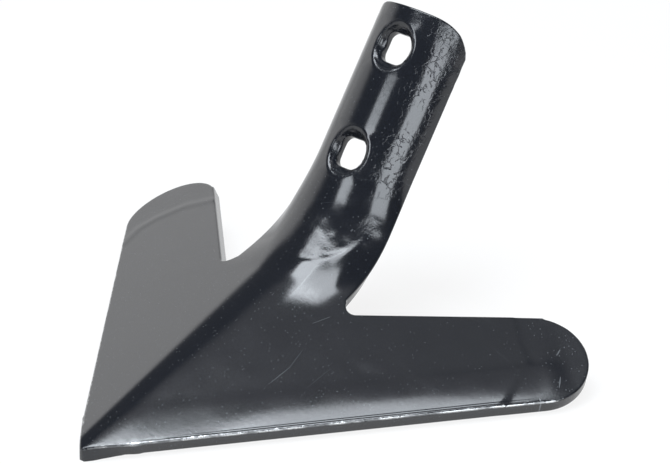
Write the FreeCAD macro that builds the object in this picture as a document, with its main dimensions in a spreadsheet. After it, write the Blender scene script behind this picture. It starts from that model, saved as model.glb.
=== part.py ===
import FreeCAD, Part
import os

import Sketcher
from FreeCAD import Vector

# Duckfoot cultivator share: one steel plate, punched flat and pressed hot.
# The ridge runs up and back from the nose, a wing falls away on each side of it,
# and behind the wings the plate curls round into a channel-shaped stem.
# Millimetres and degrees, +Z up, nose towards -Y. The share stands on its two
# cutting edges, and its origin is the middle of the base of its bounding box.

SIZES = [
    ("plate", 7.0),             # thickness of the plate
    ("ridge_rise", 15.5),       # slope of the ridge
    ("flank_fall", 19.1),       # fall of each wing beside the ridge
    ("nose_radius", 20.0),      # outer radius of the ridge's fold at the nose
    ("ridge_radius", 40.0),     # outer radius of the ridge's fold at the start of the bend
    ("fold_radius", 26.0),      # outer radius of the fold along the stem
    ("ridge_run", 129.2),       # nose point to the start of the bend, along the ridge
    ("bend_radius", 58.0),      # radius of the bend along the crest, in front of the stem
    ("stem_rise", 52.6),        # slope of the stem
    ("stem_wrap", 76.0),        # fall of the stem's flanks
    ("stem_length", 96.0),      # end of the bend to the stem's top
    ("curl_length", 26.0),      # length of stem in which the curl closes
    ("throat_half", 32.8),      # half width of the neck where the bend starts, laid flat
    ("stem_half", 35.3),        # half width of the stem, laid flat
    ("edge_length", 224.5),     # nose point to wing tip, along the cutting edge
    ("edge_taper", 7.9),        # angle between the wing's front and rear edges
    ("tip_radius", 22.6),       # round end of the wing
    ("notch_radius", 4.5),      # round of the notch between wing and neck
    ("notch_flare", 25.0),      # how far the neck's foot flares out at the notch
    ("notch_foot", 9.0),        # start of the bend to the end of the flared foot
    ("notch_tuck", 0.8),        # how far the flared foot reaches into the neck
    ("nose_blunt", 3.5),        # how far the nose point is cut back
    ("nose_half", 1.0),         # half width of the nose's upright front
    ("nose_reach", 22.0),       # length of cutting edge that runs in to the nose's front
    ("corner_radius", 19.5),    # round of the stem's top corners
    ("hole_pitch", 50.0),       # between the two bolt holes
    ("hole_margin", 18.9),      # upper hole to the stem's top
    ("slot_width", 13.0),       # square neck of the bolt
    ("slot_length", 13.8),      # how long the square hole is along the stem
    ("slot_corner", 4.0),       # round of the square hole's corners
    ("sink_width", 22.5),       # countersink at the crest
    ("sink_angle", 80.0),       # full angle of the countersink
]

# Sizes that follow from the driving ones: name, expression.
DERIVED = [
    ("sweep", "atan(sin(Sizes.ridge_rise) / tan(Sizes.flank_fall)) / 1 deg"),
    ("lift", "acos(cos(Sizes.flank_fall) * cos(Sizes.ridge_rise)) / 1 deg"),
    ("splay", "acos(cos(Derived.sweep) * cos(Sizes.ridge_rise)) / 1 deg"),
    ("turn", "Sizes.stem_rise - Sizes.ridge_rise"),
    ("nose_height", "Sizes.plate * cos(Derived.lift)"),
    ("raw_half", "Sizes.edge_length + 2 * Sizes.plate"),
    ("raw_ahead", "2 * Sizes.plate"),
    ("raw_behind", "Sizes.edge_length + 2 * Sizes.tip_radius"),
    ("clear", "Sizes.edge_length + 4 * Sizes.tip_radius + 8 * Sizes.plate"),
    ("axis_height", "Sizes.bend_radius - Sizes.ridge_radius * (1 / cos(Sizes.flank_fall) - 1)"),
    ("axis_y", "Sizes.ridge_run * cos(Sizes.ridge_rise) - Derived.axis_height * sin(Sizes.ridge_rise)"),
    ("axis_z", "Derived.nose_height + Sizes.ridge_run * sin(Sizes.ridge_rise)"
               " + Derived.axis_height * cos(Sizes.ridge_rise)"),
    ("foot_y", "Derived.axis_y + Sizes.bend_radius * sin(Sizes.stem_rise)"),
    ("foot_z", "Derived.axis_z - Sizes.bend_radius * cos(Sizes.stem_rise)"),
    ("tip_u", "Sizes.edge_length - Sizes.tip_radius"),
    ("rear_u", "Derived.tip_u + Sizes.tip_radius * sin(Sizes.edge_taper)"),
    ("rear_v", "Sizes.tip_radius * (1 + cos(Sizes.edge_taper))"),
    ("notch_angle", "Derived.splay + Sizes.edge_taper"),
    ("side_back", "Sizes.throat_half"
                  " + Sizes.ridge_radius * (tan(Sizes.flank_fall) - Sizes.flank_fall * pi / 180)"),
    ("fold_growth", "(Sizes.ridge_radius - Sizes.nose_radius) / Sizes.ridge_run"),
    ("front_radius", "Sizes.nose_radius - Derived.fold_growth * Derived.raw_ahead"),
    ("back_radius", "Sizes.ridge_radius + Derived.fold_growth * Derived.raw_behind"),
    ("rear_run", "(Derived.rear_u * sin(Derived.splay) - Derived.rear_v * cos(Derived.splay)"
                 " - Derived.side_back) / sin(Derived.notch_angle)"),
    ("notch_along", "Derived.rear_u * cos(Derived.splay) + Derived.rear_v * sin(Derived.splay)"
                    " - Derived.rear_run * cos(Derived.notch_angle)"),
    ("notch_opening", "Derived.notch_angle + Sizes.notch_flare"),
    ("notch_shift", "(Sizes.ridge_run + Sizes.notch_foot - Derived.notch_along) * sin(Sizes.notch_flare)"
                    " / sin(Derived.notch_opening)"),
    ("notch_reach", "Sizes.notch_radius / tan(Derived.notch_opening / 2)"),
    ("notch_gap", "Sizes.notch_radius / sin(Derived.notch_opening / 2) - Sizes.notch_radius"),
    ("flank_left", "Sizes.stem_half - Sizes.fold_radius * Sizes.stem_wrap * pi / 180"),
    ("stem_depth", "Sizes.fold_radius - (Sizes.fold_radius - Sizes.plate) * cos(Sizes.stem_wrap)"
                   " + Derived.flank_left * sin(Sizes.stem_wrap)"),
    ("sink_depth", "(Sizes.sink_width - Sizes.slot_width) / 2 / tan(Sizes.sink_angle / 2)"),
    ("curl_share", "Sizes.bend_radius * Derived.turn * pi / 180"
                   " / (Sizes.bend_radius * Derived.turn * pi / 180 + Sizes.curl_length)"),
]

BEND_STATIONS = 7
CURL_STATIONS = 5


def make_sheet(doc):
    """Put the driving sizes in a spreadsheet, one alias each."""
    sheet = doc.addObject("Spreadsheet::Sheet", "Sizes")
    for row, (alias, value) in enumerate(SIZES, start=1):
        sheet.set(f"A{row}", alias)
        sheet.set(f"B{row}", str(value))
        sheet.setAlias(f"B{row}", alias)
    doc.recompute()


def make_derived(doc):
    """Work out the sizes that follow from the sheet, each by its expression."""
    derived = doc.addObject("App::VarSet", "Derived")
    for name, expression in DERIVED:
        derived.addProperty("App::PropertyFloat", name)
        derived.setExpression(name, expression)
        doc.recompute()


def origin_plane(body, role):
    """Find one of the body's own origin planes."""
    for feature in body.Origin.OriginFeatures:
        if feature.Role == role:
            return feature
    raise ValueError(role)


def add_sketch(body, name, role, offset):
    """Make a sketch on an origin plane, moved by a placement expression."""
    sketch = body.newObject("Sketcher::SketchObject", name)
    sketch.AttachmentSupport = [(origin_plane(body, role), "")]
    sketch.MapMode = "FlatFace"
    sketch.setExpression("AttachmentOffset", offset)
    return sketch


def section_sketch(body, name, slope, along="0"):
    """Make a sketch square to the crest, with its origin on the bend's axis."""
    offset = (f"placement(vector(0; Derived.axis_z + ({along}) * sin({slope});"
              f" -Derived.axis_y - ({along}) * cos({slope})); rotationx({slope}))")
    return add_sketch(body, name, "XZ_Plane", offset)


def draw_outline(sketch, corners, rounds=None):
    """Draw a closed outline whose corners and arcs are bound to expressions.

    corners lists (x, y) expressions. rounds gives, for an edge that is an arc,
    its radius and the x and y of a point that it passes.
    """
    rounds = rounds or {}

    def value(expression):
        return float(sketch.evalExpression(expression))

    points = [Vector(value(x), value(y), 0) for x, y in corners]
    heads = []
    tails = []
    for edge, start in enumerate(points):
        end = points[(edge + 1) % len(points)]
        if edge in rounds:
            radius, x, y = rounds[edge]
            through = Vector(value(x), value(y), 0)
            left_turn = (through - start).cross(end - through).z > 0
            if not left_turn:
                start, end = end, start
            curve = Part.Arc(start, through, end).toShape().Curve
            circle = Part.Circle(curve.Center, Vector(0, 0, 1), curve.Radius)
            first = circle.parameter(start)
            last = circle.parameter(end)
            index = sketch.addGeometry(Part.ArcOfCircle(circle, first, last), False)
            heads.append((index, 1 if left_turn else 2))
            tails.append((index, 2 if left_turn else 1))
        else:
            index = sketch.addGeometry(Part.LineSegment(start, end), False)
            heads.append((index, 1))
            tails.append((index, 2))
    for edge, tail in enumerate(tails):
        head = heads[(edge + 1) % len(heads)]
        sketch.addConstraint(Sketcher.Constraint("Coincident", *tail, *head))
    for (x, y), head, point in zip(corners, heads, points):
        for kind, expression, start in (("DistanceX", x, point.x), ("DistanceY", y, point.y)):
            index = sketch.addConstraint(Sketcher.Constraint(kind, *head, start))
            sketch.setExpression(f"Constraints[{index}]", expression)
    for edge, (radius, _, _) in rounds.items():
        index = sketch.addConstraint(Sketcher.Constraint("Radius", heads[edge][0], value(radius)))
        sketch.setExpression(f"Constraints[{index}]", radius)


def draw_section(sketch, fall, half, outer, centre=None):
    """Draw the plate's section: a round fold with a straight flank on each side."""
    centre = centre or f"(-Sizes.bend_radius - {outer})"
    flank = f"(({half}) - {outer} * ({fall}) * pi / 180)"
    inner = f"({outer} - Sizes.plate)"

    def fold_end(side, radius):
        return (f"{side} * {radius} * sin({fall})", f"{centre} + {radius} * cos({fall})")

    def flank_end(side, radius):
        return (f"{side} * ({radius} * sin({fall}) + {flank} * cos({fall}))",
                f"{centre} + {radius} * cos({fall}) - {flank} * sin({fall})")

    corners = [flank_end(-1, outer), fold_end(-1, outer), fold_end(1, outer), flank_end(1, outer),
               flank_end(1, inner), fold_end(1, inner), fold_end(-1, inner), flank_end(-1, inner)]
    draw_outline(sketch, corners, {1: (outer, "0", f"{centre} + {outer}"),
                                   5: (inner, "0", f"{centre} + {inner}")})


def make_wings(doc, body):
    """Loft the folded plate and cut it to the outline of the two wings."""
    ends = [("PlateFront", "-Sizes.ridge_run - Derived.raw_ahead", "Derived.front_radius"),
            ("PlateBack", "Derived.raw_behind", "Derived.back_radius")]
    sections = []
    for name, along, radius in ends:
        section = section_sketch(body, name, "Sizes.ridge_rise", along)
        draw_section(section, "Sizes.flank_fall", "Derived.raw_half", radius,
                     f"(-Derived.axis_height - {radius} / cos(Sizes.flank_fall))")
        sections.append(section)
    doc.recompute()
    plate = body.newObject("PartDesign::AdditiveLoft", "FoldedPlate")
    plate.Profile = sections[0]
    plate.Sections = sections[1:]
    plate.Ruled = True
    doc.recompute()

    outline = add_sketch(body, "WingOutline", "XY_Plane",
                         "placement(vector(0; 0; Derived.nose_height);"
                         " rotationz(90 - Derived.sweep) * rotationx(Derived.lift))")
    tail = "Sizes.ridge_run + Derived.clear"

    def notch_point(distance, angle):
        """Give a point at a distance from the notch's sharp corner, at an angle to the ridge."""
        along = "Derived.notch_along + Derived.notch_shift * cos(Derived.notch_angle)"
        aside = "Derived.side_back + Derived.notch_shift * sin(Derived.notch_angle)"
        return plate_point(f"{along} + {distance} * cos({angle})", f"{aside} + {distance} * sin({angle})")

    notch_rear = notch_point("Derived.notch_reach", "Derived.notch_angle")
    notch_floor = notch_point("Derived.notch_gap", "((Derived.notch_angle - Sizes.notch_flare) / 2)")
    notch_front = notch_point("Derived.notch_reach", "(-Sizes.notch_flare)")
    foot_end = "Sizes.ridge_run + Sizes.notch_foot"
    tuck = "Derived.side_back - Sizes.notch_tuck"
    ridge_tail = plate_point(tail, "0")
    wide = "(Derived.clear + Sizes.edge_length)"
    corners = [("Sizes.nose_reach", "0"), ("Derived.tip_u", "0"), ("Derived.rear_u", "Derived.rear_v"),
               notch_rear, notch_front, plate_point(foot_end, "Derived.side_back"),
               plate_point(foot_end, tuck), plate_point("Sizes.ridge_run", tuck),
               plate_point("Sizes.ridge_run", "0"),
               ridge_tail, (wide, ridge_tail[1]), (wide, "-Derived.clear"),
               ("Sizes.nose_reach", "-Derived.clear")]
    rounds = {1: ("Sizes.tip_radius", "Derived.tip_u + Sizes.tip_radius", "Sizes.tip_radius"),
              3: ("Sizes.notch_radius", *notch_floor)}
    draw_outline(outline, corners, rounds)
    doc.recompute()
    cut = body.newObject("PartDesign::Pocket", "WingCut")
    cut.Profile = outline
    cut.SideType = "Symmetric"
    cut.Type = "ThroughAll"
    doc.recompute()
    both = body.newObject("PartDesign::Mirrored", "WingCuts")
    both.Originals = [cut]
    both.MirrorPlane = (origin_plane(body, "YZ_Plane"), [""])
    body.Tip = both
    doc.recompute()
    return both


def plate_point(along, aside):
    """Give a point of the wing plane: along the ridge, and square to the ridge, in the sketch's axes."""
    return (f"({along}) * cos(Derived.splay) + ({aside}) * sin(Derived.splay)",
            f"({along}) * sin(Derived.splay) - ({aside}) * cos(Derived.splay)")


def ease(share):
    """Give an expression that goes from 0 to 1 with the share, level at both ends."""
    return f"(({share}) ^ 2 * (3 - 2 * ({share})))"


def make_neck(doc, body):
    """Loft the plate through the bend, where it curls from the wings to the stem."""
    sections = []

    def add_section(name, slope, along, share):
        fall = f"(Sizes.flank_fall + (Sizes.stem_wrap - Sizes.flank_fall) * {ease(share)})"
        half = f"(Sizes.throat_half + (Sizes.stem_half - Sizes.throat_half) * {ease(share)})"
        radius = f"(Sizes.ridge_radius + (Sizes.fold_radius - Sizes.ridge_radius) * {ease(share)})"
        sketch = section_sketch(body, name, slope, along)
        draw_section(sketch, fall, half, radius)
        sections.append(sketch)

    for step in range(BEND_STATIONS + 1):
        share = f"Derived.curl_share * {step} / {BEND_STATIONS}"
        slope = f"(Sizes.ridge_rise + Derived.turn * {step} / {BEND_STATIONS})"
        add_section(f"BendSection{step}", slope, "0", share)
    for step in range(1, CURL_STATIONS + 1):
        share = f"Derived.curl_share + (1 - Derived.curl_share) * {step} / {CURL_STATIONS}"
        along = f"Sizes.curl_length * {step} / {CURL_STATIONS}"
        add_section(f"CurlSection{step}", "Sizes.stem_rise", along, share)
    doc.recompute()
    neck = body.newObject("PartDesign::AdditiveLoft", "Neck")
    neck.Profile = sections[0]
    neck.Sections = sections[1:]
    doc.recompute()
    stem = body.newObject("PartDesign::Pad", "Stem")
    stem.Profile = sections[-1]
    stem.Reversed = True
    stem.setExpression("Length", "Sizes.stem_length - Sizes.curl_length")
    doc.recompute()
    return stem


def stem_point(along):
    """Give the y and z of a point of the crest, measured up the stem from the end of the bend."""
    return (f"Derived.foot_y + ({along}) * cos(Sizes.stem_rise)",
            f"Derived.foot_z + ({along}) * sin(Sizes.stem_rise)")


def round_stem_top(doc, body):
    """Round the two rear corners of the stem's top, seen from the side."""
    y, z = stem_point("Sizes.stem_length")
    sketch = add_sketch(body, "TopCorners", "YZ_Plane",
                        f"placement(vector({y}; {z}; 0); rotationz(Sizes.stem_rise))")
    level = "(Sizes.corner_radius - Derived.stem_depth)"
    low = "(-Derived.stem_depth - Sizes.corner_radius)"
    corners = [("0", level), ("Sizes.corner_radius", level), ("Sizes.corner_radius", low),
               ("-Sizes.corner_radius", low), ("-Sizes.corner_radius", "-Derived.stem_depth")]
    rounds = {4: ("Sizes.corner_radius", "Sizes.corner_radius * (cos(45) - 1)",
                  f"{level} - Sizes.corner_radius * sin(45)")}
    draw_outline(sketch, corners, rounds)
    doc.recompute()
    cut = body.newObject("PartDesign::Pocket", "TopCornerCut")
    cut.Profile = sketch
    cut.SideType = "Symmetric"
    cut.Type = "ThroughAll"
    doc.recompute()
    return cut


def make_bolt_holes(doc, body):
    """Sink and punch the two bolt holes: a cone, and a square hole with round corners."""
    y, z = stem_point("Sizes.stem_length - Sizes.hole_margin")
    sink_sketch = add_sketch(body, "SinkProfile", "YZ_Plane",
                             f"placement(vector({y}; {z}; 0); rotationz(Sizes.stem_rise))")
    slope = "tan(Sizes.sink_angle / 2)"
    draw_outline(sink_sketch, [
        ("0", "Sizes.plate"),
        (f"Sizes.sink_width / 2 + Sizes.plate * {slope}", "Sizes.plate"),
        ("Sizes.slot_width / 2", "-Derived.sink_depth"),
        ("0", "-Derived.sink_depth"),
    ])
    doc.recompute()
    sink = body.newObject("PartDesign::Groove", "Countersink")
    sink.Profile = sink_sketch
    sink.ReferenceAxis = (sink_sketch, ["V_Axis"])
    sink.Angle = 360
    doc.recompute()

    slot_sketch = add_sketch(body, "SlotProfile", "XY_Plane",
                             f"placement(vector(0; {y}; {z}); rotationx(Sizes.stem_rise))")
    wide = "Sizes.slot_width / 2"
    tall = "Sizes.slot_length / 2"
    near = "(Sizes.slot_corner * (1 - cos(45)))"
    corners = []
    rounds = {}
    for x_side, y_side in ((1, -1), (1, 1), (-1, 1), (-1, -1)):
        flat_end = (f"{x_side} * ({wide} - Sizes.slot_corner)", f"{y_side} * {tall}")
        side_end = (f"{x_side} * {wide}", f"{y_side} * ({tall} - Sizes.slot_corner)")
        turn = (f"{x_side} * ({wide} - {near})", f"{y_side} * ({tall} - {near})")
        rounds[len(corners)] = ("Sizes.slot_corner", *turn)
        corners += [flat_end, side_end] if x_side * y_side < 0 else [side_end, flat_end]
    draw_outline(slot_sketch, corners, rounds)
    doc.recompute()
    slot = body.newObject("PartDesign::Pocket", "Slot")
    slot.Profile = slot_sketch
    slot.setExpression("Length", "Sizes.plate * 2")
    doc.recompute()

    pair = body.newObject("PartDesign::LinearPattern", "BoltHoles")
    pair.Originals = [sink, slot]
    pair.Direction = (slot_sketch, ["V_Axis"])
    pair.Reversed = True
    pair.setExpression("Length", "Sizes.hole_pitch")
    pair.Occurrences = 2
    body.Tip = pair
    doc.recompute()
    return pair


def nose_outline(depth, spare="0"):
    """Give one side of the nose's outline, at a depth under the cutting edge, with metal to spare.

    The front is upright. From there the cut runs out to the cutting edge, and
    turns until it is square to the wing.
    """
    lean = f"(({depth}) * tan(Derived.lift))"

    def on_cut(along, ahead="0"):
        out = f"(({ahead}) - {lean})"
        return (f"({along}) * sin(Derived.sweep) + {out} * cos(Derived.sweep)",
                f"({along}) * cos(Derived.sweep) - {out} * sin(Derived.sweep)")

    past_nose = "Sizes.nose_reach + Sizes.plate"
    return [("Sizes.nose_half", f"Sizes.nose_blunt - ({spare})"), on_cut("Sizes.nose_reach", spare),
            on_cut(past_nose, f"{spare} + Sizes.plate / 20"), on_cut(past_nose, "2 * Sizes.plate"),
            ("Sizes.nose_half", "Sizes.nose_blunt - 4 * Sizes.plate")]


def draw_both_sides(sketch, side):
    """Draw an outline from one side of it and its mirror image."""
    draw_outline(sketch, side + [(f"-({x})", y) for x, y in reversed(side)])


def make_nose(doc, body):
    """Cut the nose: upright in front, square to the wings behind, and level below."""
    trim = add_sketch(body, "NoseTrim", "XY_Plane", "placement(vector(0; 0; 0); rotationx(0))")
    side = nose_outline("0", "Sizes.plate / 4")
    wide = ("Derived.clear * cos(Derived.sweep)", "-Derived.clear * sin(Derived.sweep)")
    draw_both_sides(trim, side[:3] + [wide])
    doc.recompute()
    front = body.newObject("PartDesign::Pocket", "NoseFront")
    front.Profile = trim
    front.SideType = "Symmetric"
    front.Type = "ThroughAll"
    doc.recompute()

    sections = []
    for name, depth in (("NoseBottom", "Sizes.plate * 2"), ("NoseTop", "-Sizes.plate / 2")):
        sketch = add_sketch(body, name, "XY_Plane",
                            f"placement(vector(0; 0; Derived.nose_height - ({depth})); rotationx(0))")
        draw_both_sides(sketch, nose_outline(depth))
        sections.append(sketch)
    doc.recompute()
    cut = body.newObject("PartDesign::SubtractiveLoft", "NoseCut")
    cut.Profile = sections[0]
    cut.Sections = sections[1:]
    cut.Ruled = True
    doc.recompute()

    sole = add_sketch(body, "NoseSole", "XY_Plane", "placement(vector(0; 0; 0); rotationx(0))")
    draw_both_sides(sole, [("2 * Sizes.nose_reach", "-Sizes.plate"), ("2 * Sizes.nose_reach", "2 * Sizes.nose_reach")])
    doc.recompute()
    level = body.newObject("PartDesign::Pocket", "NoseLevel")
    level.Profile = sole
    level.setExpression("Length", "2 * Sizes.plate")
    doc.recompute()
    return level


def set_down(body):
    """Move the share so that its origin is the middle of the base of its bounding box."""
    box = body.Shape.optimalBoundingBox(False, False)
    body.Placement.Base = Vector(-box.Center.x, -box.Center.y, -box.ZMin)


def check(doc, body):
    """Stop if a feature failed or the share isn't one sound solid."""
    failed = [item.Name for item in doc.Objects if "Invalid" in item.State or "Error" in item.State]
    if failed:
        raise RuntimeError(f"features failed: {failed}")
    shape = body.Shape
    if shape.isNull() or not shape.isValid() or len(shape.Solids) != 1:
        raise RuntimeError("the share isn't one sound solid")


def main():
    doc = FreeCAD.newDocument("DuckfootShare")
    make_sheet(doc)
    make_derived(doc)
    body = doc.addObject("PartDesign::Body", "Share")
    body.Label = "duckfoot_share"
    doc.recompute()
    make_wings(doc, body)
    make_neck(doc, body)
    round_stem_top(doc, body)
    make_bolt_holes(doc, body)
    make_nose(doc, body)
    set_down(body)
    doc.recompute()
    check(doc, body)
    os.makedirs("parts", exist_ok=True)
    body.Shape.exportStep(f"parts/{body.Label}.step")
    box = body.Shape.optimalBoundingBox(False, False)
    print(body.Label, round(body.Shape.Volume), round(box.XLength, 2), round(box.YLength, 2), round(box.ZLength, 2))


if __name__ == "__main__":
    main()
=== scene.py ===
"""Studio scene of a pressed steel cultivator share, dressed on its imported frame."""

import logging
import math
from dataclasses import dataclass, field
from enum import Enum
from typing import Callable, Iterable, Sequence

import bmesh
import bpy
from mathutils import Matrix, Vector, noise


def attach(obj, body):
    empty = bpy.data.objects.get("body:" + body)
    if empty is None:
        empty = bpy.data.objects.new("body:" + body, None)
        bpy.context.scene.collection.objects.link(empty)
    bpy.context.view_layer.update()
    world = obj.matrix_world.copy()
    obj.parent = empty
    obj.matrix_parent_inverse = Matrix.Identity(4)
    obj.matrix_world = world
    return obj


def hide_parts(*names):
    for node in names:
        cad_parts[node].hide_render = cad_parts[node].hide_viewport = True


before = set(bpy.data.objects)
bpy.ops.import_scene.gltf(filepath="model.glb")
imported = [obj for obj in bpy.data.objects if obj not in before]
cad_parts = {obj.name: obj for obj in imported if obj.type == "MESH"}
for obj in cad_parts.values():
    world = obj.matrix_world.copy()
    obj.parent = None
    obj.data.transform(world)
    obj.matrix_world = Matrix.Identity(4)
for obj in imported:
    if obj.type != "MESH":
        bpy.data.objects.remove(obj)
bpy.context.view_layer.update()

log = logging.getLogger("share")

MM = 0.001
NODE = "duckfoot_share"


def smooth(share: float) -> float:
    """Ease a share, held to the span from 0 to 1, so that it is level at both ends."""
    share = min(max(share, 0.0), 1.0)
    return share * share * (3.0 - 2.0 * share)


def blend(first: float, second: float, share: float) -> float:
    """Go from the first number, at a share of 0, towards the second one, at a share of 1."""
    return first + (second - first) * share


@dataclass(frozen=True)
class PressSizes:
    """Sizes of the pressed share in millimetres and degrees, as in the part's source."""

    plate: float = 7.0
    ridge_rise: float = 15.5
    flank_fall: float = 19.1
    nose_radius: float = 20.0
    ridge_radius: float = 40.0
    fold_radius: float = 26.0
    ridge_run: float = 129.2
    bend_radius: float = 58.0
    stem_rise: float = 52.6
    stem_wrap: float = 76.0
    stem_length: float = 96.0
    curl_length: float = 26.0
    throat_half: float = 32.8
    stem_half: float = 35.3
    edge_length: float = 224.5
    edge_taper: float = 7.9
    tip_radius: float = 22.6
    notch_radius: float = 4.5
    notch_flare: float = 25.0
    notch_foot: float = 9.0
    nose_blunt: float = 3.5
    nose_half: float = 1.0
    nose_reach: float = 22.0
    corner_radius: float = 19.5
    hole_pitch: float = 50.0
    hole_margin: float = 18.9
    slot_width: float = 13.0
    slot_length: float = 13.8
    slot_corner: float = 4.0
    sink_width: float = 22.5
    sink_angle: float = 80.0
    nose_y: float = -113.651
    nose_z: float = 6.374

    @property
    def splay(self) -> float:
        """Angle in radians between the ridge and a cutting edge, laid flat."""
        fall, rise = math.radians(self.flank_fall), math.radians(self.ridge_rise)
        sweep = math.atan(math.sin(rise) / math.tan(fall))
        return math.acos(math.cos(sweep) * math.cos(rise))

    @property
    def fold_gain(self) -> float:
        """How much shorter the fold is than the sharp ridge that it rounds, on one side of the neck's start."""
        fall = math.radians(self.flank_fall)
        return self.ridge_radius * (math.tan(fall) - fall)

    @property
    def bend_length(self) -> float:
        """Length of the crest in the bend."""
        return self.bend_radius * math.radians(self.stem_rise - self.ridge_rise)

    @property
    def stem_top(self) -> float:
        """Place of the stem's top along the crest, from the nose."""
        return self.ridge_run + self.bend_length + self.stem_length

    @property
    def hole_places(self) -> tuple[float, float]:
        """Places of the lower and the upper bolt hole along the crest."""
        upper = self.stem_top - self.hole_margin
        return upper - self.hole_pitch, upper


class Press:
    """Bends a flat blank into the share.

    The blank lies with x across from the ridge, y along the ridge from the nose,
    and z as the height over its upper face, all in millimetres.
    """

    def __init__(self, sizes: PressSizes) -> None:
        """Keep the sizes and work out the axis that the neck bends about."""
        self.sizes = sizes
        rise = math.radians(sizes.ridge_rise)
        fall = math.radians(sizes.flank_fall)
        height = sizes.bend_radius - sizes.ridge_radius * (1.0 / math.cos(fall) - 1.0)
        run = sizes.ridge_run
        self.axis_y = sizes.nose_y + run * math.cos(rise) - height * math.sin(rise)
        self.axis_z = sizes.nose_z + run * math.sin(rise) + height * math.cos(rise)

    def shape_at(self, along: float) -> tuple[float, float, float]:
        """Give the section's form at a place along the neck or stem.

        Args:
            along: Distance from the nose along the crest.

        Returns:
            The fall of the flanks in radians, the half width, and the fold's radius.
        """
        sizes = self.sizes
        share = smooth((along - sizes.ridge_run) / (sizes.bend_length + sizes.curl_length))
        fall = math.radians(blend(sizes.flank_fall, sizes.stem_wrap, share))
        radius = blend(sizes.ridge_radius, sizes.fold_radius, share)
        return fall, blend(sizes.throat_half, sizes.stem_half, share), radius

    def wing_radius(self, along: float) -> float:
        """Give the radius of the ridge's fold, which opens steadily from the nose."""
        sizes = self.sizes
        return blend(sizes.nose_radius, sizes.ridge_radius, along / sizes.ridge_run)

    def station(self, along: float) -> tuple[float, float]:
        """Give the slope in radians and the run past the bend's plane at a place along the crest."""
        sizes = self.sizes
        past = along - sizes.ridge_run
        if past < 0.0:
            return math.radians(sizes.ridge_rise), past
        if past < sizes.bend_length:
            return math.radians(sizes.ridge_rise) + past / sizes.bend_radius, 0.0
        return math.radians(sizes.stem_rise), past - sizes.bend_length

    def section_point(self, across: float, height: float, fall: float, radius: float,
                      on_wing: bool) -> tuple[float, float]:
        """Bend one point of the blank in the section square to the crest.

        Args:
            across: Distance from the crest, laid flat.
            height: Height over the upper face.
            fall: Fall of the flanks in radians.
            radius: Radius of the fold.
            on_wing: Whether the flanks lie in the wings' planes, however wide the fold is.

        Returns:
            The place across, and the depth under the bend's axis as a negative number.
        """
        sizes = self.sizes
        spare = sizes.ridge_radius - radius if on_wing else 0.0
        reach = radius * fall - spare * (math.tan(fall) - fall)
        turn = min(abs(across) / reach, 1.0) * fall
        flank = max(abs(across) - reach, 0.0)
        aside = (radius + height) * math.sin(turn) + flank * math.cos(turn)
        depth = (radius + height) * math.cos(turn) - flank * math.sin(turn) - radius
        depth += spare * (1.0 / math.cos(fall) - 1.0)
        return math.copysign(aside, across), depth - sizes.bend_radius

    def place(self, slope: float, run: float, aside: float, depth: float) -> Vector:
        """Put a section point in the row's frame, in millimetres."""
        y = self.axis_y + run * math.cos(slope) - depth * math.sin(slope)
        z = self.axis_z + run * math.sin(slope) + depth * math.cos(slope)
        return Vector((aside, y, z))

    def bend(self, point: Vector) -> Vector:
        """Bend one point of the blank.

        Args:
            point: The point on the flat blank, in millimetres.

        Returns:
            The point on the share, in millimetres.
        """
        sizes = self.sizes
        past = point.y - sizes.ridge_run
        rise = math.radians(sizes.ridge_rise)
        flat = math.radians(sizes.flank_fall)
        wing = self.place(rise, past, *self.section_point(point.x, point.z, flat, self.wing_radius(point.y), True))
        if past <= 0.0:
            if point.y < sizes.nose_reach * 2.0:
                wing.z = max(wing.z, 0.0)
            return wing
        fall, _, radius = self.shape_at(point.y)
        slope, run = self.station(point.y)
        neck = self.place(slope, run, *self.section_point(point.x, point.z, fall, radius, False))
        wing_share = smooth((abs(point.x) - sizes.throat_half + 2.0) / 9.0)
        if abs(point.x) < sizes.stem_half + 0.5:
            # The neck's own edge leaves the wing's plane soon after the bend starts.
            wing_share *= 1.0 - smooth((past - 4.0) / 8.0)
        return neck.lerp(wing, wing_share)


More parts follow.
